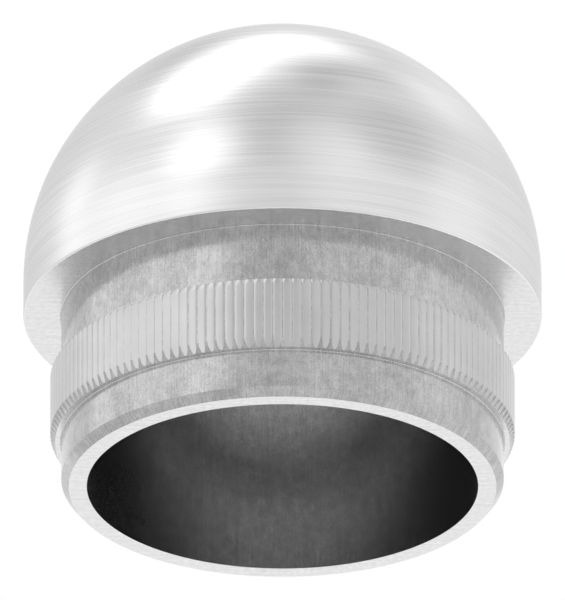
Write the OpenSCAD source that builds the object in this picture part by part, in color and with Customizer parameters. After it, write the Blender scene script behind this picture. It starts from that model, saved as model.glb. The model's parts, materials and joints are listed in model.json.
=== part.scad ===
// Domed end cap for a round handrail tube.
// A hollow half ball closes the tube and carries on its outside diameter.
// The spigot under it goes into the tube, and its knurled band grips there.
// The origin is the centre of the rim's face, and +Z runs up to the dome.

/* [Tube] */
// Outside diameter of the tube that the cap closes
tube_d = 42.4; // [38:0.1:60]
// Wall of that tube
tube_wall = 2; // [1.5:0.1:3]

/* [Head] */
// Height of the straight edge between the shoulder and the dome
edge_h = 3.1; // [1:0.1:8]
// Round on the outer corner of the shoulder
shoulder_round = 0.15; // [0.1:0.05:0.8]

/* [Spigot] */
// Length of the spigot from the shoulder to the rim
spigot_l = 15.3; // [14:0.1:30]
// Wall of the spigot around the bore
spigot_wall = 2.1; // [1.5:0.1:4]
// Width of the chamfer on the rim's outer corner
rim_chamfer_w = 0.6; // [0.2:0.05:1.2]
// Height of that chamfer
rim_chamfer_h = 0.7; // [0.2:0.05:2]
// Round on the rim's inner corner
rim_round = 0.05; // [0.05:0.05:0.5]
// Fillet in the corners where the spigot meets the shoulder and the band
root_fillet = 0.1; // [0.05:0.05:0.3]

/* [Knurl] */
// Clearance on each side between the knurl's crests and the tube's bore
knurl_clearance = 0.2; // [0:0.05:0.5]
// How far the crests stand out from the spigot
knurl_rise = 0.9; // [0.7:0.05:1.2]
// Depth of a groove below the crests
groove_depth = 0.42; // [0.2:0.02:0.6]
// Width of the flat land on a crest
crest_w = 0.1; // [0.05:0.01:0.3]
// Number of grooves round the band
groove_count = 150; // [60:2:180]
// Height of the band's lower end above the rim
band_z = 4; // [3:0.1:6]
// Length of the band
band_l = 6.15; // [3:0.05:7]
// Width of the chamfers on both ends of the band
band_chamfer_w = 0.4; // [0.2:0.05:0.65]
// Height of the long chamfer at the lower end, which leads into the tube
lead_in_h = 0.7; // [0.3:0.05:1.2]
// Height of the short chamfer at the upper end
back_chamfer_h = 0.45; // [0.2:0.05:0.8]

/* [Cavity] */
// Thickness of the dome at its top
crown_wall = 5.2; // [2:0.1:8]

/* [Hidden] */

dome_r = tube_d / 2;
crest_r = dome_r - tube_wall - knurl_clearance;
spigot_r = crest_r - knurl_rise;
bore_r = spigot_r - spigot_wall;
dome_z = spigot_l + edge_h;
cap_h = dome_z + dome_r;
// The cavity ends in a half ball as wide as the bore
cavity_dome_z = cap_h - crown_wall - bore_r;
// The fillets at the band's ends stay within the step between its chamfers and the spigot
band_fillet = min(root_fillet, knurl_rise - band_chamfer_w);
// How far the chamfers' cuts run on past the crests, as a share of the chamfers
chamfer_overrun = 0.25;
// Width of one groove between two lands, and the angles that it spans
pitch_angle = 360 / groove_count;
land_angle = crest_w / crest_r * 180 / PI;
groove_angle = pitch_angle - land_angle;
// Places of the profile's corners across a groove, as shares of its half width
groove_steps = [-1, -0.8, -0.45, 0, 0.45, 0.8, 1];
// Overlap of cuts that open into the air, and of solids that are joined
overlap = 1;

// Right half of a disc, which revolves to a ball
module half_disc(r) {
    intersection() {
        circle(r = r, $fn = 180);
        translate([0, -r - overlap])
            square([r + overlap, 2 * (r + overlap)]);
    }
}

// Section of a concave fillet that fills the corner at the origin, to the right and below
module corner_fillet(r) {
    difference() {
        translate([-overlap, -r])
            square([overlap + r, r + overlap]);
        translate([r, -r])
            circle(r = r, $fn = 48);
    }
}

// Section of the head: the dome, its straight edge and the shoulder's rounded corner
module head_section() {
    intersection() {
        translate([0, dome_z])
            half_disc(dome_r);
        translate([0, dome_z])
            square([dome_r + overlap, dome_r + overlap]);
    }
    translate([0, spigot_l])
        square([dome_r - shoulder_round, edge_h]);
    translate([0, spigot_l + shoulder_round])
        square([dome_r, edge_h - shoulder_round]);
    translate([dome_r - shoulder_round, spigot_l + shoulder_round])
        circle(r = shoulder_round, $fn = 48);
}

// Section of the spigot, with its chamfer at the rim
module spigot_section() {
    polygon([
        [0, 0],
        [spigot_r - rim_chamfer_w, 0],
        [spigot_r, rim_chamfer_h],
        [spigot_r, spigot_l + overlap],
        [0, spigot_l + overlap],
    ]);
}

// Section of the cavity: the bore, its round end, and the round on the rim's inner corner
module cavity_section() {
    translate([0, -overlap])
        square([bore_r, cavity_dome_z + overlap]);
    translate([0, cavity_dome_z])
        half_disc(bore_r);
    difference() {
        translate([0, -overlap])
            square([bore_r + rim_round, rim_round + overlap]);
        translate([bore_r + rim_round, rim_round])
            circle(r = rim_round, $fn = 48);
    }
}

// Outline of the knurl seen along the axis: sharp ridges with hollow grooves between.
// The depth of a groove follows a parabola, and a ridge points along -Y.
function groove_r(share) = crest_r - groove_depth * (1 - share * share);
function knurl_point(i, share) =
    let (a = -90 + (i + 0.5) * pitch_angle + share * groove_angle / 2)
    groove_r(share) * [cos(a), sin(a)];

module knurl_outline() {
    polygon([
        for (i = [0 : groove_count - 1], share = groove_steps)
            knurl_point(i, share)
    ]);
}

// Section of the smooth ring that the grooves are cut in, with a chamfer at both ends
module band_section() {
    inner_r = (spigot_r + bore_r) / 2;
    foot_r = crest_r - band_chamfer_w;
    outer_r = crest_r + chamfer_overrun * band_chamfer_w;
    reach = 1 + chamfer_overrun;
    polygon([
        [inner_r, band_z],
        [foot_r, band_z],
        [outer_r, band_z + reach * lead_in_h],
        [outer_r, band_z + band_l - reach * back_chamfer_h],
        [foot_r, band_z + band_l],
        [inner_r, band_z + band_l],
    ]);
}

module knurled_band() {
    intersection() {
        translate([0, 0, band_z - overlap])
            linear_extrude(height = band_l + 2 * overlap)
                knurl_outline();
        rotate_extrude($fn = 180)
            band_section();
    }
}

module end_cap() {
    color("silver")
    difference() {
        union() {
            rotate_extrude($fn = 180) {
                head_section();
                spigot_section();
                translate([spigot_r, spigot_l])
                    corner_fillet(root_fillet);
                translate([spigot_r, band_z])
                    corner_fillet(band_fillet);
                translate([spigot_r, band_z + band_l])
                    mirror([0, 1])
                        corner_fillet(band_fillet);
            }
            knurled_band();
        }
        rotate_extrude($fn = 180)
            cavity_section();
    }
}

end_cap();
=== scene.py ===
"""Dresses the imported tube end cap: a finely divided copy of its turned form with its knurl, satin
steel finishes for each of its surfaces, and a bright studio seen from the photograph's angle."""

import json
import math

import bpy
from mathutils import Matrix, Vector


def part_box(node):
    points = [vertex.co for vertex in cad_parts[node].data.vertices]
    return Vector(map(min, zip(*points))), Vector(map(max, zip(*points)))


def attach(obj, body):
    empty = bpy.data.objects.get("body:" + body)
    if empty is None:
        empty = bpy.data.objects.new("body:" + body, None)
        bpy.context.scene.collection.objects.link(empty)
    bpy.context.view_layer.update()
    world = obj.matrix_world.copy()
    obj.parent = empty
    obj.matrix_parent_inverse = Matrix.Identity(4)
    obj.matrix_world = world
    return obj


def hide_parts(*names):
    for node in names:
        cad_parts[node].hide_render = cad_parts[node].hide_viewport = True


MM = 0.001

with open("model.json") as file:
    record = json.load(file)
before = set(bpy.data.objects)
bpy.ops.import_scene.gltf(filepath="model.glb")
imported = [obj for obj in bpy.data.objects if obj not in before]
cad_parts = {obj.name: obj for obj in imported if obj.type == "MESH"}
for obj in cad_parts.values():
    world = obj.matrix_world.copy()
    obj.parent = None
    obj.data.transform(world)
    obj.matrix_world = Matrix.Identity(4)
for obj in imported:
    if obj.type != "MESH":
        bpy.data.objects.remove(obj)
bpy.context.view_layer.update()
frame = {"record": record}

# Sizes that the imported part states, in metres
mounts = {m["name"]: m for m in frame["record"]["mounts"]}
low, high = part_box("end_cap")
DOME_R = (high[0] - low[0]) / 2
CAP_H = high[2]
DOME_Z = CAP_H - DOME_R
SPIGOT_L = mounts["shoulder"]["pos_m"][2]
SPIGOT_R = mounts["spigot"]["dims"]["r_mm"] * MM
CREST_R = mounts["knurled_band"]["dims"]["r_mm"] * MM
BAND_L = mounts["knurled_band"]["dims"]["length_mm"] * MM
BAND_Z = mounts["knurled_band"]["pos_m"][2] - BAND_L / 2
BAND_TOP = BAND_Z + BAND_L

# Sizes that it doesn't state, as in part.scad
SPIGOT_WALL = 2.1 * MM
SHOULDER_ROUND = 0.15 * MM
RIM_CHAMFER_W = 0.6 * MM
RIM_CHAMFER_H = 0.7 * MM
RIM_ROUND = 0.05 * MM
ROOT_FILLET = 0.1 * MM
CROWN_WALL = 5.2 * MM
GROOVE_COUNT = 150
GROOVE_DEPTH = 0.42 * MM
CREST_W = 0.1 * MM
BAND_CHAMFER_W = 0.4 * MM
LEAD_IN_H = 0.7 * MM
BACK_CHAMFER_H = 0.45 * MM
BORE_R = SPIGOT_R - SPIGOT_WALL
CAVITY_DOME_Z = CAP_H - CROWN_WALL - BORE_R

# The pads that fill the grooves between the band's ends
# How far past the chamfers a groove has become a pad
GROOVE_RUN_OUT = 0.05 * MM
# Slope of a pad's edges to the side, and how fast it falls off towards the pad's middle
PAD_LEAN = 0.5
PAD_POWER = 3
# Length of a pad's rounded upper end, and how much its top leans up
PAD_END = 0.7 * MM
END_LEAN = 0.15

# Division of the turned surfaces
SEGMENTS_PER_GROOVE = 2
STEPS_PER_GROOVE = 16
DOME_STEPS = 64
CAVITY_STEPS = 32
ROUND_STEPS = 4
# The step of a root fillet that gets the dome's brighter finish: a painted highlight where the
# fillet catches the light
PAINTED_HIGHLIGHT_STEP = 3
SHARP_ANGLE = math.radians(35)
# A stretch of the section over this length gets a ring this close to each of its ends
LONG_STRETCH = 0.3 * MM
BRACE = 0.03 * MM

# Darkest and lightest grey of each steel surface, and its roughness
DOME_GREY = (0.59, 0.69)
DOME_ROUGHNESS = (0.24, 0.30)
DOME_ANISOTROPY = 0.2
DOME_EDGE_TINT = (0.8, 0.8, 0.8, 1)
FACE_GREY = (0.71, 0.83)
FACE_ROUGHNESS = 0.24
SPIGOT_GREY = (0.30, 0.46)
SPIGOT_ROUGHNESS = 0.18
CAVITY_GREY = (0.43, 0.61)
CAVITY_ROUGHNESS = 0.20
KNURL_GREY = (0.44, 0.48)
KNURL_ROUGHNESS = 0.28
# Spans of noise that reach from the darkest to the lightest grey: the more layers, the narrower
WIDE_NOISE = (0.3, 0.7)
MIXED_NOISE = (0.35, 0.65)
LAYERED_NOISE = (0.40, 0.60)
# Heights of the relief that the bump draws
BRUSH_RELIEF = 0.0015 * MM
GRAIN_RELIEF = 0.003 * MM
# Places nearer to the axis than this count as this far from it
AXIS_GUARD = 0.01 * MM

# The photograph's view and frame
VIEW_BELOW = math.radians(24.9)
CAMERA_DISTANCE = 0.5
FRAME_HEIGHT = 49.08 * MM
AIM_ABOVE_RIM = 15.27 * MM

# The floor, which fades out between two shares of its radius
FLOOR_RADIUS = 0.32
FLOOR_GAP = 0.05 * MM
FLOOR_SIDES = 96
FLOOR_FADE = (0.3, 0.95)
FLOOR_COLOUR = (0.8, 0.8, 0.8, 1)

# Grey levels of the studio, and the rises of a ray between which the ground gives way to the sky
GROUND_LEVEL = 1.0
SKY_LEVEL = 1.05
HORIZON = (-0.1, 0.25)
# The softbox overhead, on a ceiling one unit above the part
SOFTBOX_CENTRE = (-0.22, 0.14)
SOFTBOX_TURN = 43
SOFTBOX_HALF_L = 0.49
SOFTBOX_HALF_W = 0.22
SOFTBOX_EDGE = 0.17
SOFTBOX_AMOUNT = 1.7
# Rays that rise less than this don't meet the ceiling
CEILING_RISE = 0.001
# Soft patches: azimuth, elevation and half width in degrees, and what each adds to the level
GROUND_PATCHES = [
    (-75, -25, 45, 0.08),
    (100, -25, 55, 0.24),
    (-140, 0, 25, 0.36),
    (140, 0, 25, 0.16),
    (0, -50, 25, 0.18),
]
SKY_PATCHES = [
    (-40, 38, 19, 0.90),
    (-110, 30, 13, 0.56),
    (-75, -5, 50, 0.62),
    (2, 50, 31, -0.34),
    (21, 40, 20, 0.36),
    (63, 46, 22, -0.31),
    (87, 21, 23, 0.24),
    (48, 76, 10, -0.37),
    (127, 55, 12, 0.31),
    (159, 58, 24, 0.42),
    (174, 69, 32, -0.61),
    (55, 20, 30, 0.10),
    (145, 25, 45, 0.13),
    (-135, 35, 40, 0.05),
    (-170, 55, 18, 0.15),
]


def arc(centre, radius, start, end, steps):
    """Points (r, z) along an arc of the section; its angles are in degrees, and run from outwards
    to upwards."""
    angles = [math.radians(start + (end - start) * i / steps) for i in range(steps + 1)]
    return [(centre[0] + radius * math.cos(a), centre[1] + radius * math.sin(a)) for a in angles]


def braced(start, end):
    """The end of a stretch of the section. If the stretch is long, a place close to each of its
    ends comes first, so that the shading of the rounds beside it stays off it."""
    length = math.dist(start, end)
    shares = [BRACE / length, 1 - BRACE / length] if length > LONG_STRETCH else []
    places = [tuple(a + (b - a) * share for a, b in zip(start, end)) for share in shares]
    return places + [end]


def groove_radius(share):
    """Radius of the knurl at its ends, at a place across a groove from -1 at one ridge to 1 at the
    next."""
    return CREST_R - GROOVE_DEPTH * (1 - share * share)


def pad_radius(share):
    """Radius of the knurl between its ends, where each groove is filled up to a pad with soft
    edges."""
    half_width = (2 * math.pi * CREST_R / GROOVE_COUNT - CREST_W) / 2
    return CREST_R - PAD_LEAN * half_width * abs(share) ** (PAD_POWER + 1) / (PAD_POWER + 1)


def knurl_places(radius):
    """(radius, angle) of each point round the knurl; a ridge's land is centred on -Y."""
    pitch = 2 * math.pi / GROOVE_COUNT
    land = CREST_W / CREST_R
    places = []
    for groove in range(GROOVE_COUNT):
        for step in range(STEPS_PER_GROOVE):
            share = -1 + 2 * step / (STEPS_PER_GROOVE - 1)
            angle = (groove + 0.5) * pitch + share * (pitch - land) / 2
            places.append((radius(share), angle))
    return places


class Lathe:
    """A closed mesh made of rings round the Z axis, joined by strips of faces."""

    def __init__(self):
        self.points = []
        self.faces = []
        self.slots = []

    def pole(self, z):
        self.points.append((0.0, 0.0, z))
        return [len(self.points) - 1]

    def ring(self, r, z, count):
        """A ring of count points, the first one at -Y."""
        return self.shaped_ring([(r, z, 2 * math.pi * i / count) for i in range(count)])

    def shaped_ring(self, places, start=()):
        """A ring through places (r, z, angle from -Y towards +X). It shares the points of the
        start ring that lie in the same places."""
        ring = []
        for i, (r, z, a) in enumerate(places):
            point = (r * math.sin(a), -r * math.cos(a), z)
            if start and self.points[start[i]] == point:
                ring.append(start[i])
            else:
                self.points.append(point)
                ring.append(len(self.points) - 1)
        return ring

    def face(self, corners, slot):
        """A face through the corners, unless fewer than three of them differ."""
        corners = tuple(dict.fromkeys(corners))
        if len(corners) > 2:
            self.faces.append(corners)
            self.slots.append(slot)

    def strip(self, below, above, slot):
        """Faces between two rings, one of which may be a pole or hold a whole multiple of points.
        Rings with as many points may take several slots, which repeat along them."""
        if len(below) < len(above):
            self.fan(below, above, slot, flip=False)
        elif len(above) < len(below):
            self.fan(above, below, slot, flip=True)
        else:
            count = len(below)
            for i in range(count):
                j = (i + 1) % count
                here = slot if isinstance(slot, int) else slot[i % len(slot)]
                self.face((below[i], below[j], above[j], above[i]), here)

    def fan(self, coarse, fine, slot, flip):
        """Faces from each stretch of the coarse ring, or from a pole, to a run of the fine one."""
        pole = len(coarse) == 1
        parts = 1 if pole else len(fine) // len(coarse)
        for i in range(len(fine) // parts):
            run = [fine[(i * parts + k) % len(fine)] for k in range(parts + 1)]
            near = coarse if pole else [coarse[i], coarse[(i + 1) % len(coarse)]]
            corners = near + run[::-1]
            self.face(corners[::-1] if flip else corners, slot)

    def mesh(self, name):
        made = bpy.data.meshes.new(name)
        made.from_pydata(self.points, [], self.faces)
        made.polygons.foreach_set("material_index", self.slots)
        made.validate()
        made.shade_smooth()
        made.set_sharp_from_angle(angle=SHARP_ANGLE)
        return made


# Material slots of the cap's mesh
CAVITY, FACE, SPIGOT, KNURL, DOME = range(5)


def end_cap_mesh():
    """The whole cap as one closed surface, from the cavity's pole over the rim to the dome's."""
    lathe = Lathe()
    count = GROOVE_COUNT * SEGMENTS_PER_GROOVE

    def turned(section, slot, start):
        """Rings along a section, joined to the start ring and to each other; returns the last."""
        for end in section:
            # A ring's first point is at -Y
            _, y, z = lathe.points[start[0]]
            for place in braced((-y, z), end):
                ring = lathe.ring(*place, count)
                lathe.strip(start, ring, slot)
                start = ring
        return start

    def fillet(centre, start):
        """The fillet from the spigot's wall out to a face above it; one step is a painted
        highlight.
        """
        steps = arc(centre, ROOT_FILLET, 180, 90, ROUND_STEPS)
        start = turned(steps[:PAINTED_HIGHLIGHT_STEP], SPIGOT, start)
        # This step gets the dome's brighter finish, a painted highlight line along the fillet
        start = turned(steps[PAINTED_HIGHLIGHT_STEP:PAINTED_HIGHLIGHT_STEP + 1], DOME, start)
        return turned(steps[PAINTED_HIGHLIGHT_STEP + 1:], SPIGOT, start)

    # The cavity, the rim and the spigot below the band
    ring = lathe.pole(CAVITY_DOME_Z + BORE_R)
    cavity_end = arc((0, CAVITY_DOME_Z), BORE_R, 90, 0, CAVITY_STEPS)
    ring = turned(cavity_end[1:], CAVITY, ring)
    rim_corner = (BORE_R + RIM_ROUND, RIM_ROUND)
    rim_round = arc(rim_corner, RIM_ROUND, 180, 270, ROUND_STEPS)
    ring = turned(rim_round[:1], CAVITY, ring)
    ring = turned(rim_round[1:], FACE, ring)
    ring = turned([(SPIGOT_R - RIM_CHAMFER_W, 0)], FACE, ring)
    ring = turned([(SPIGOT_R, RIM_CHAMFER_H)], SPIGOT, ring)
    root_r = SPIGOT_R + ROOT_FILLET
    ring = fillet((root_r, BAND_Z - ROOT_FILLET), ring)
    ring = turned([(root_r + BRACE, BAND_Z)], FACE, ring)

    # The band: open grooves on its chamfers, pads between them, and a dark land between two pads
    deep = knurl_places(groove_radius)
    pads = knurl_places(pad_radius)
    foot_r = CREST_R - BAND_CHAMFER_W
    lead_in = LEAD_IN_H / BAND_CHAMFER_W
    back = BACK_CHAMFER_H / BAND_CHAMFER_W
    padded = [KNURL] * (STEPS_PER_GROOVE - 1) + [SPIGOT]
    low_z = BAND_Z + LEAD_IN_H + GROOVE_RUN_OUT
    high_z = BAND_TOP - BACK_CHAMFER_H - GROOVE_RUN_OUT
    sections = [
        (FACE, [(min(r, foot_r), BAND_Z, a) for r, a in deep]),
        (SPIGOT, [(r, BAND_Z + lead_in * max(r - foot_r, 0), a) for r, a in deep]),
        (padded, [(r, low_z, a) for r, a in pads]),
        (padded, [(r, high_z, a) for r, a in pads]),
        (KNURL, [(r, BAND_TOP - back * max(r - foot_r, 0), a) for r, a in deep]),
        (KNURL, [(min(r, foot_r), BAND_TOP, a) for r, a in deep]),
    ]
    for slot, section in sections:
        start = ring if len(ring) == len(section) else ()
        band = lathe.shaped_ring(section, start)
        lathe.strip(ring, band, slot)
        ring = band
    band = lathe.ring(root_r, BAND_TOP, count)
    lathe.strip(ring, band, FACE)

    # The spigot above the band, the shoulder and the dome
    upper_root = arc((root_r, BAND_TOP + ROOT_FILLET), ROOT_FILLET, 270, 180, ROUND_STEPS)
    ring = turned(upper_root[1:], SPIGOT, band)
    ring = fillet((root_r, SPIGOT_L - ROOT_FILLET), ring)
    edge = (DOME_R - SHOULDER_ROUND, SPIGOT_L + SHOULDER_ROUND)
    half_round = ROUND_STEPS // 2
    ring = turned(arc(edge, SHOULDER_ROUND, 270, 315, half_round), FACE, ring)
    ring = turned(arc(edge, SHOULDER_ROUND, 315, 360, half_round)[1:], DOME, ring)
    ring = turned(arc((0, DOME_Z), DOME_R, 0, 90, DOME_STEPS)[:-1], DOME, ring)
    lathe.strip(ring, lathe.pole(CAP_H), DOME)
    return lathe.mesh("cap_body")


class Nodes:
    """Short calls for building a node tree."""

    def __init__(self, tree):
        self.tree = tree
        tree.nodes.clear()

    def add(self, kind, inputs=(), **settings):
        """A node with its settings and inputs; each input is a value or another node's output."""
        node = self.tree.nodes.new(kind)
        for name, value in settings.items():
            setattr(node, name, value)
        for name, value in dict(inputs).items():
            if isinstance(value, bpy.types.NodeSocket):
                self.tree.links.new(value, node.inputs[name])
            else:
                node.inputs[name].default_value = value
        return node

    def math(self, operation, a, b=0.0):
        return self.add("ShaderNodeMath", {0: a, 1: b}, operation=operation).outputs[0]

    def vector(self, x, y, z):
        return self.add("ShaderNodeCombineXYZ", {0: x, 1: y, 2: z}).outputs[0]

    def noise(self, vector, scale, detail):
        inputs = {"Vector": vector, "Scale": scale, "Detail": detail}
        return self.add("ShaderNodeTexNoise", inputs).outputs["Fac"]

    def drawn_out(self, *axes, detail=1.0):
        """Noise that is coarser along some axes than along others; each axis is (value, scale)."""
        scaled = [self.math("MULTIPLY", value, scale) for value, scale in axes]
        return self.noise(self.vector(*scaled), 1.0, detail)

    def mix(self, layers):
        """Sum of layers (value, share)."""
        total = 0.0
        for value, share in layers:
            total = self.math("ADD", self.math("MULTIPLY", value, share), total)
        return total

    def range(self, value, span, to_low, to_high, smooth=False):
        """The value, with its span mapped to another and held at the ends."""
        inputs = {0: value, 1: span[0], 2: span[1], 3: to_low, 4: to_high}
        kind = "SMOOTHSTEP" if smooth else "LINEAR"
        return self.add("ShaderNodeMapRange", inputs, interpolation_type=kind).outputs[0]

    def grey(self, level):
        return self.add("ShaderNodeCombineColor", {0: level, 1: level, 2: level}).outputs[0]


def steel(name, anisotropy=0.0):
    """A metal material with its node helper and its shader, whose inputs the caller sets."""
    material = bpy.data.materials.new(name)
    material.use_nodes = True
    nodes = Nodes(material.node_tree)
    shader = nodes.add("ShaderNodeBsdfPrincipled", {"Metallic": 1.0, "Anisotropic": anisotropy})
    nodes.add("ShaderNodeOutputMaterial", {"Surface": shader.outputs[0]})
    return material, nodes, shader


def place(nodes):
    """(x, y, z) of the shaded point in metres, and the same as separate values."""
    where = nodes.add("ShaderNodeTexCoord").outputs["Object"]
    apart = nodes.add("ShaderNodeSeparateXYZ", {0: where})
    return where, apart.outputs[0], apart.outputs[1], apart.outputs[2]


def round_place(nodes, x, y):
    """(distance from the axis, cosine and sine of the angle round it)."""
    squares = nodes.math("ADD", nodes.math("MULTIPLY", x, x), nodes.math("MULTIPLY", y, y))
    r = nodes.math("MAXIMUM", nodes.math("SQRT", squares), AXIS_GUARD)
    return r, nodes.math("DIVIDE", x, r), nodes.math("DIVIDE", y, r)


def paint(nodes, shader, level, roughness, height=None, relief=0.0):
    """Sets the shader's grey level, its roughness, and its bump, if any, with relief in metres."""
    tree = nodes.tree
    tree.links.new(nodes.grey(level), shader.inputs["Base Color"])
    if isinstance(roughness, bpy.types.NodeSocket):
        tree.links.new(roughness, shader.inputs["Roughness"])
    else:
        shader.inputs["Roughness"].default_value = roughness
    if height is not None:
        bump = nodes.add("ShaderNodeBump", {"Height": height, "Distance": relief})
        tree.links.new(bump.outputs[0], shader.inputs["Normal"])


def dome_steel():
    """Brushed round the axis: fine lines along the dome's circles, with faint broader bands."""
    material, nodes, shader = steel("dome_steel", DOME_ANISOTROPY)
    shader.inputs["Specular Tint"].default_value = DOME_EDGE_TINT
    tangent = nodes.add("ShaderNodeTangent", direction_type="RADIAL", axis="Z")
    nodes.tree.links.new(tangent.outputs[0], shader.inputs["Tangent"])
    _, x, y, z = place(nodes)
    r, cosine, sine = round_place(nodes, x, y)
    climb = nodes.math("ARCTAN2", nodes.math("SUBTRACT", z, DOME_Z), r)

    def lines(round_scale, pitch):
        """Noise drawn out round the axis; pitch is the lines' rough spacing in metres."""
        return nodes.drawn_out((cosine, round_scale), (sine, round_scale), (climb, DOME_R / pitch))

    both = nodes.mix([(lines(1.3, 0.16 * MM), 0.65), (lines(1.0, 0.7 * MM), 0.35)])
    level = nodes.range(both, WIDE_NOISE, *DOME_GREY)
    roughness = nodes.range(both, WIDE_NOISE, *DOME_ROUGHNESS)
    paint(nodes, shader, level, roughness, both, BRUSH_RELIEF)
    return material


def face_steel():
    """The flat shoulder and rim: bright, faintly clouded, with straight fine scratches along X."""
    material, nodes, shader = steel("face_steel")
    where, x, y, z = place(nodes)
    lines = nodes.drawn_out((x, 1 / (5 * MM)), (y, 1 / (0.25 * MM)), (z, 1.0), detail=3.0)
    clouds = nodes.noise(where, 1 / (0.45 * MM), detail=2.0)
    level = nodes.range(nodes.mix([(lines, 0.5), (clouds, 0.5)]), MIXED_NOISE, *FACE_GREY)
    paint(nodes, shader, level, FACE_ROUGHNESS, lines, GRAIN_RELIEF)
    return material


def scored_steel(name, grey, roughness):
    """A plain turned wall: soft clouds of grey, short streaks along the axis and a fine grain."""
    material, nodes, shader = steel(name)
    where, x, y, z = place(nodes)
    _, cosine, sine = round_place(nodes, x, y)

    def streaks(width, length):
        """Noise drawn out along the axis."""
        round_scale = SPIGOT_R / width
        return nodes.drawn_out((cosine, round_scale), (sine, round_scale), (z, 1 / length))

    mixed = nodes.mix([
        (nodes.noise(where, 1 / (4.0 * MM), detail=1.0), 0.18),
        (nodes.noise(where, 1 / (0.8 * MM), detail=2.0), 0.24),
        (nodes.noise(where, 1 / (0.16 * MM), detail=1.0), 0.26),
        (streaks(0.12 * MM, 0.7 * MM), 0.15),
        (streaks(0.12 * MM, 4.0 * MM), 0.17),
    ])
    level = nodes.range(mixed, LAYERED_NOISE, *grey)
    paint(nodes, shader, level, roughness, mixed, GRAIN_RELIEF)
    return material


def knurl_steel():
    """The rolled knurl: smooth and clean, and shaded as level pads whose edges and upper ends are
    softly rounded."""
    material, nodes, shader = steel("knurl_steel")
    where, x, y, z = place(nodes)
    _, cosine, sine = round_place(nodes, x, y)

    # Place across a groove, from -1 at one ridge to 1 at the next
    angle = nodes.math("ARCTAN2", x, nodes.math("MULTIPLY", y, -1.0))
    turns = nodes.math("DIVIDE", angle, 2 * math.pi)
    grooves = nodes.math("MULTIPLY", nodes.math("ADD", turns, 1.0), GROOVE_COUNT)
    passed = nodes.math("MULTIPLY", nodes.math("FRACT", grooves), 2.0)
    share = nodes.math("SUBTRACT", passed, 1.0)

    # Slope to the side there, and the normal that it gives
    pad_end = (BAND_TOP - PAD_END, BAND_TOP)
    power = nodes.range(z, pad_end, PAD_POWER, 1.0)
    edge = nodes.math("POWER", nodes.math("ABSOLUTE", share), power)
    signed = nodes.math("MULTIPLY", nodes.math("SIGN", share), edge)
    lean = nodes.math("MULTIPLY", signed, PAD_LEAN)
    against = nodes.math("MULTIPLY", lean, -1.0)
    normal = nodes.vector(
        nodes.math("ADD", cosine, nodes.math("MULTIPLY", sine, against)),
        nodes.math("ADD", sine, nodes.math("MULTIPLY", cosine, lean)),
        nodes.range(z, pad_end, 0.0, END_LEAN),
    )
    normal = nodes.add("ShaderNodeVectorMath", {0: normal}, operation="NORMALIZE").outputs[0]
    nodes.tree.links.new(normal, shader.inputs["Normal"])

    clouds = nodes.noise(where, 1 / (3 * MM), detail=3.0)
    paint(nodes, shader, nodes.range(clouds, WIDE_NOISE, *KNURL_GREY), KNURL_ROUGHNESS)
    return material


def end_cap():
    """The cap's visible mesh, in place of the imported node."""
    piece = bpy.data.objects.new("cap_body", end_cap_mesh())
    bpy.context.scene.collection.objects.link(piece)
    cavity = scored_steel("cavity_steel", CAVITY_GREY, CAVITY_ROUGHNESS)
    spigot = scored_steel("spigot_steel", SPIGOT_GREY, SPIGOT_ROUGHNESS)
    # In the order of the mesh's slots
    for material in (cavity, face_steel(), spigot, knurl_steel(), dome_steel()):
        piece.data.materials.append(material)
    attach(piece, "root")
    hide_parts("end_cap")


def floor():
    """A pale disc that fades into the background. It is seen only from above, so that the view
    from below looks through it, and it leaves the light on the part alone."""
    turns = [2 * math.pi * i / FLOOR_SIDES for i in range(FLOOR_SIDES)]
    edge = [(FLOOR_RADIUS * math.cos(a), FLOOR_RADIUS * math.sin(a), 0) for a in turns]
    mesh = bpy.data.meshes.new("floor")
    mesh.from_pydata(edge, [], [tuple(range(FLOOR_SIDES))])
    disc = bpy.data.objects.new("floor", mesh)
    disc.location = (0, 0, -FLOOR_GAP)
    bpy.context.scene.collection.objects.link(disc)
    material = bpy.data.materials.new("floor")
    material.use_nodes = True
    nodes = Nodes(material.node_tree)
    _, x, y, _ = place(nodes)
    r, _, _ = round_place(nodes, x, y)
    fade = [share * FLOOR_RADIUS for share in FLOOR_FADE]
    inside = nodes.range(r, fade, 1.0, 0.0, smooth=True)
    seen = nodes.add("ShaderNodeLightPath").outputs["Is Camera Ray"]
    back = nodes.add("ShaderNodeNewGeometry").outputs["Backfacing"]
    front = nodes.math("SUBTRACT", 1.0, back)
    solid = nodes.math("MULTIPLY", nodes.math("MULTIPLY", seen, front), inside)
    matt = nodes.add("ShaderNodeBsdfDiffuse", {"Color": FLOOR_COLOUR})
    clear = nodes.add("ShaderNodeBsdfTransparent")
    shaders = {0: solid, 1: clear.outputs[0], 2: matt.outputs[0]}
    mixed = nodes.add("ShaderNodeMixShader", shaders)
    nodes.add("ShaderNodeOutputMaterial", {"Surface": mixed.outputs[0]})
    mesh.materials.append(material)


def direction(azimuth, elevation):
    """Unit vector away from the part; azimuth 0 is -Y, on the camera's side, and 90 is +X."""
    a, e = math.radians(azimuth), math.radians(elevation)
    return Vector((math.cos(e) * math.sin(a), -math.cos(e) * math.cos(a), math.sin(e)))


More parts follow.
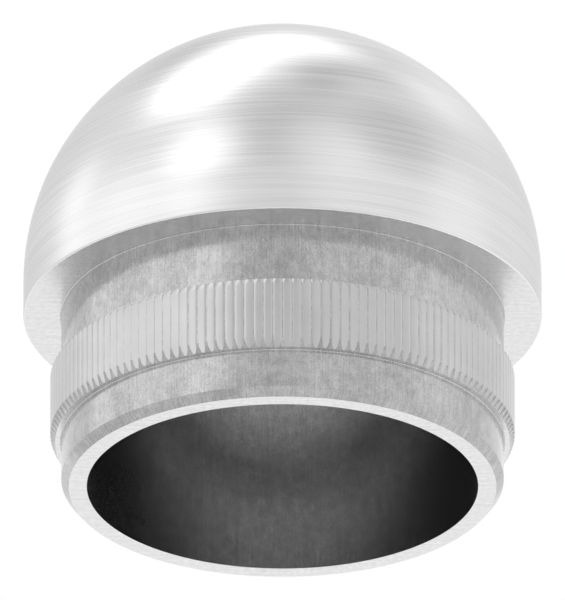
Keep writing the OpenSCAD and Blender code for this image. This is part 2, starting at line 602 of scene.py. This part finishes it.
def softbox(nodes, ray):
    """What the softbox overhead adds to the level: a rectangle with soft edges on a ceiling that
    is one unit above the part."""
    up = nodes.math("MAXIMUM", ray[2], CEILING_RISE)
    x = nodes.math("SUBTRACT", nodes.math("DIVIDE", ray[0], up), SOFTBOX_CENTRE[0])
    y = nodes.math("SUBTRACT", nodes.math("DIVIDE", ray[1], up), SOFTBOX_CENTRE[1])
    rises = nodes.math("GREATER_THAN", ray[2], CEILING_RISE)
    amount = nodes.math("MULTIPLY", rises, SOFTBOX_AMOUNT)
    sides = ((SOFTBOX_HALF_L, SOFTBOX_TURN), (SOFTBOX_HALF_W, SOFTBOX_TURN + 90))
    for half_size, turn in sides:
        along_x = nodes.math("MULTIPLY", x, math.cos(math.radians(turn)))
        along_y = nodes.math("MULTIPLY", y, math.sin(math.radians(turn)))
        off = nodes.math("ABSOLUTE", nodes.math("ADD", along_x, along_y))
        edge = (half_size - SOFTBOX_EDGE, half_size + SOFTBOX_EDGE)
        amount = nodes.math("MULTIPLY", amount, nodes.range(off, edge, 1.0, 0.0, smooth=True))
    return amount


def studio_world():
    """White for the camera. For everything else a grey sky over a ground, with a long softbox
    overhead and soft patches of more or less light."""
    world = bpy.data.worlds.new("studio")
    world.use_nodes = True
    bpy.context.scene.world = world
    nodes = Nodes(world.node_tree)
    ray = nodes.add("ShaderNodeTexCoord").outputs["Generated"]
    apart = nodes.add("ShaderNodeSeparateXYZ", {0: ray}).outputs

    def patched(level, patches):
        """The level with what the soft patches add to it."""
        for azimuth, elevation, half_width, amount in patches:
            towards = {0: ray, 1: direction(azimuth, elevation)}
            dot = nodes.add("ShaderNodeVectorMath", towards, operation="DOT_PRODUCT")
            span = (math.cos(math.radians(half_width)), 1.0)
            added = nodes.range(dot.outputs["Value"], span, 0.0, amount, smooth=True)
            level = nodes.math("ADD", added, level)
        return level

    sky = patched(nodes.math("ADD", softbox(nodes, apart), SKY_LEVEL), SKY_PATCHES)
    ground = patched(GROUND_LEVEL, GROUND_PATCHES)
    above = nodes.range(apart[2], HORIZON, 0.0, 1.0, smooth=True)
    rise = nodes.math("MULTIPLY", nodes.math("SUBTRACT", sky, ground), above)
    level = nodes.math("ADD", ground, rise)
    studio = nodes.add("ShaderNodeBackground", {"Color": nodes.grey(level), "Strength": 1.0})
    white = nodes.add("ShaderNodeBackground", {"Color": (1, 1, 1, 1), "Strength": 1.0})
    seen = nodes.add("ShaderNodeLightPath").outputs["Is Camera Ray"]
    shaders = {0: seen, 1: studio.outputs[0], 2: white.outputs[0]}
    mixed = nodes.add("ShaderNodeMixShader", shaders)
    nodes.add("ShaderNodeOutputWorld", {"Surface": mixed.outputs[0]})


def camera():
    """A parallel view at the photograph's angle, from below the rim."""
    data = bpy.data.cameras.new("camera")
    data.type = "ORTHO"
    data.ortho_scale = FRAME_HEIGHT
    made = bpy.data.objects.new("camera", data)
    bpy.context.scene.collection.objects.link(made)
    aim = Vector((0, 0, AIM_ABOVE_RIM / math.cos(VIEW_BELOW)))
    ahead = Vector((0, math.cos(VIEW_BELOW), math.sin(VIEW_BELOW)))
    made.location = aim - ahead * CAMERA_DISTANCE
    made.rotation_euler = (math.radians(90) + VIEW_BELOW, 0, 0)
    bpy.context.scene.camera = made


camera()
end_cap()
floor()
studio_world()
bpy.context.scene.view_settings.view_transform = "Standard"
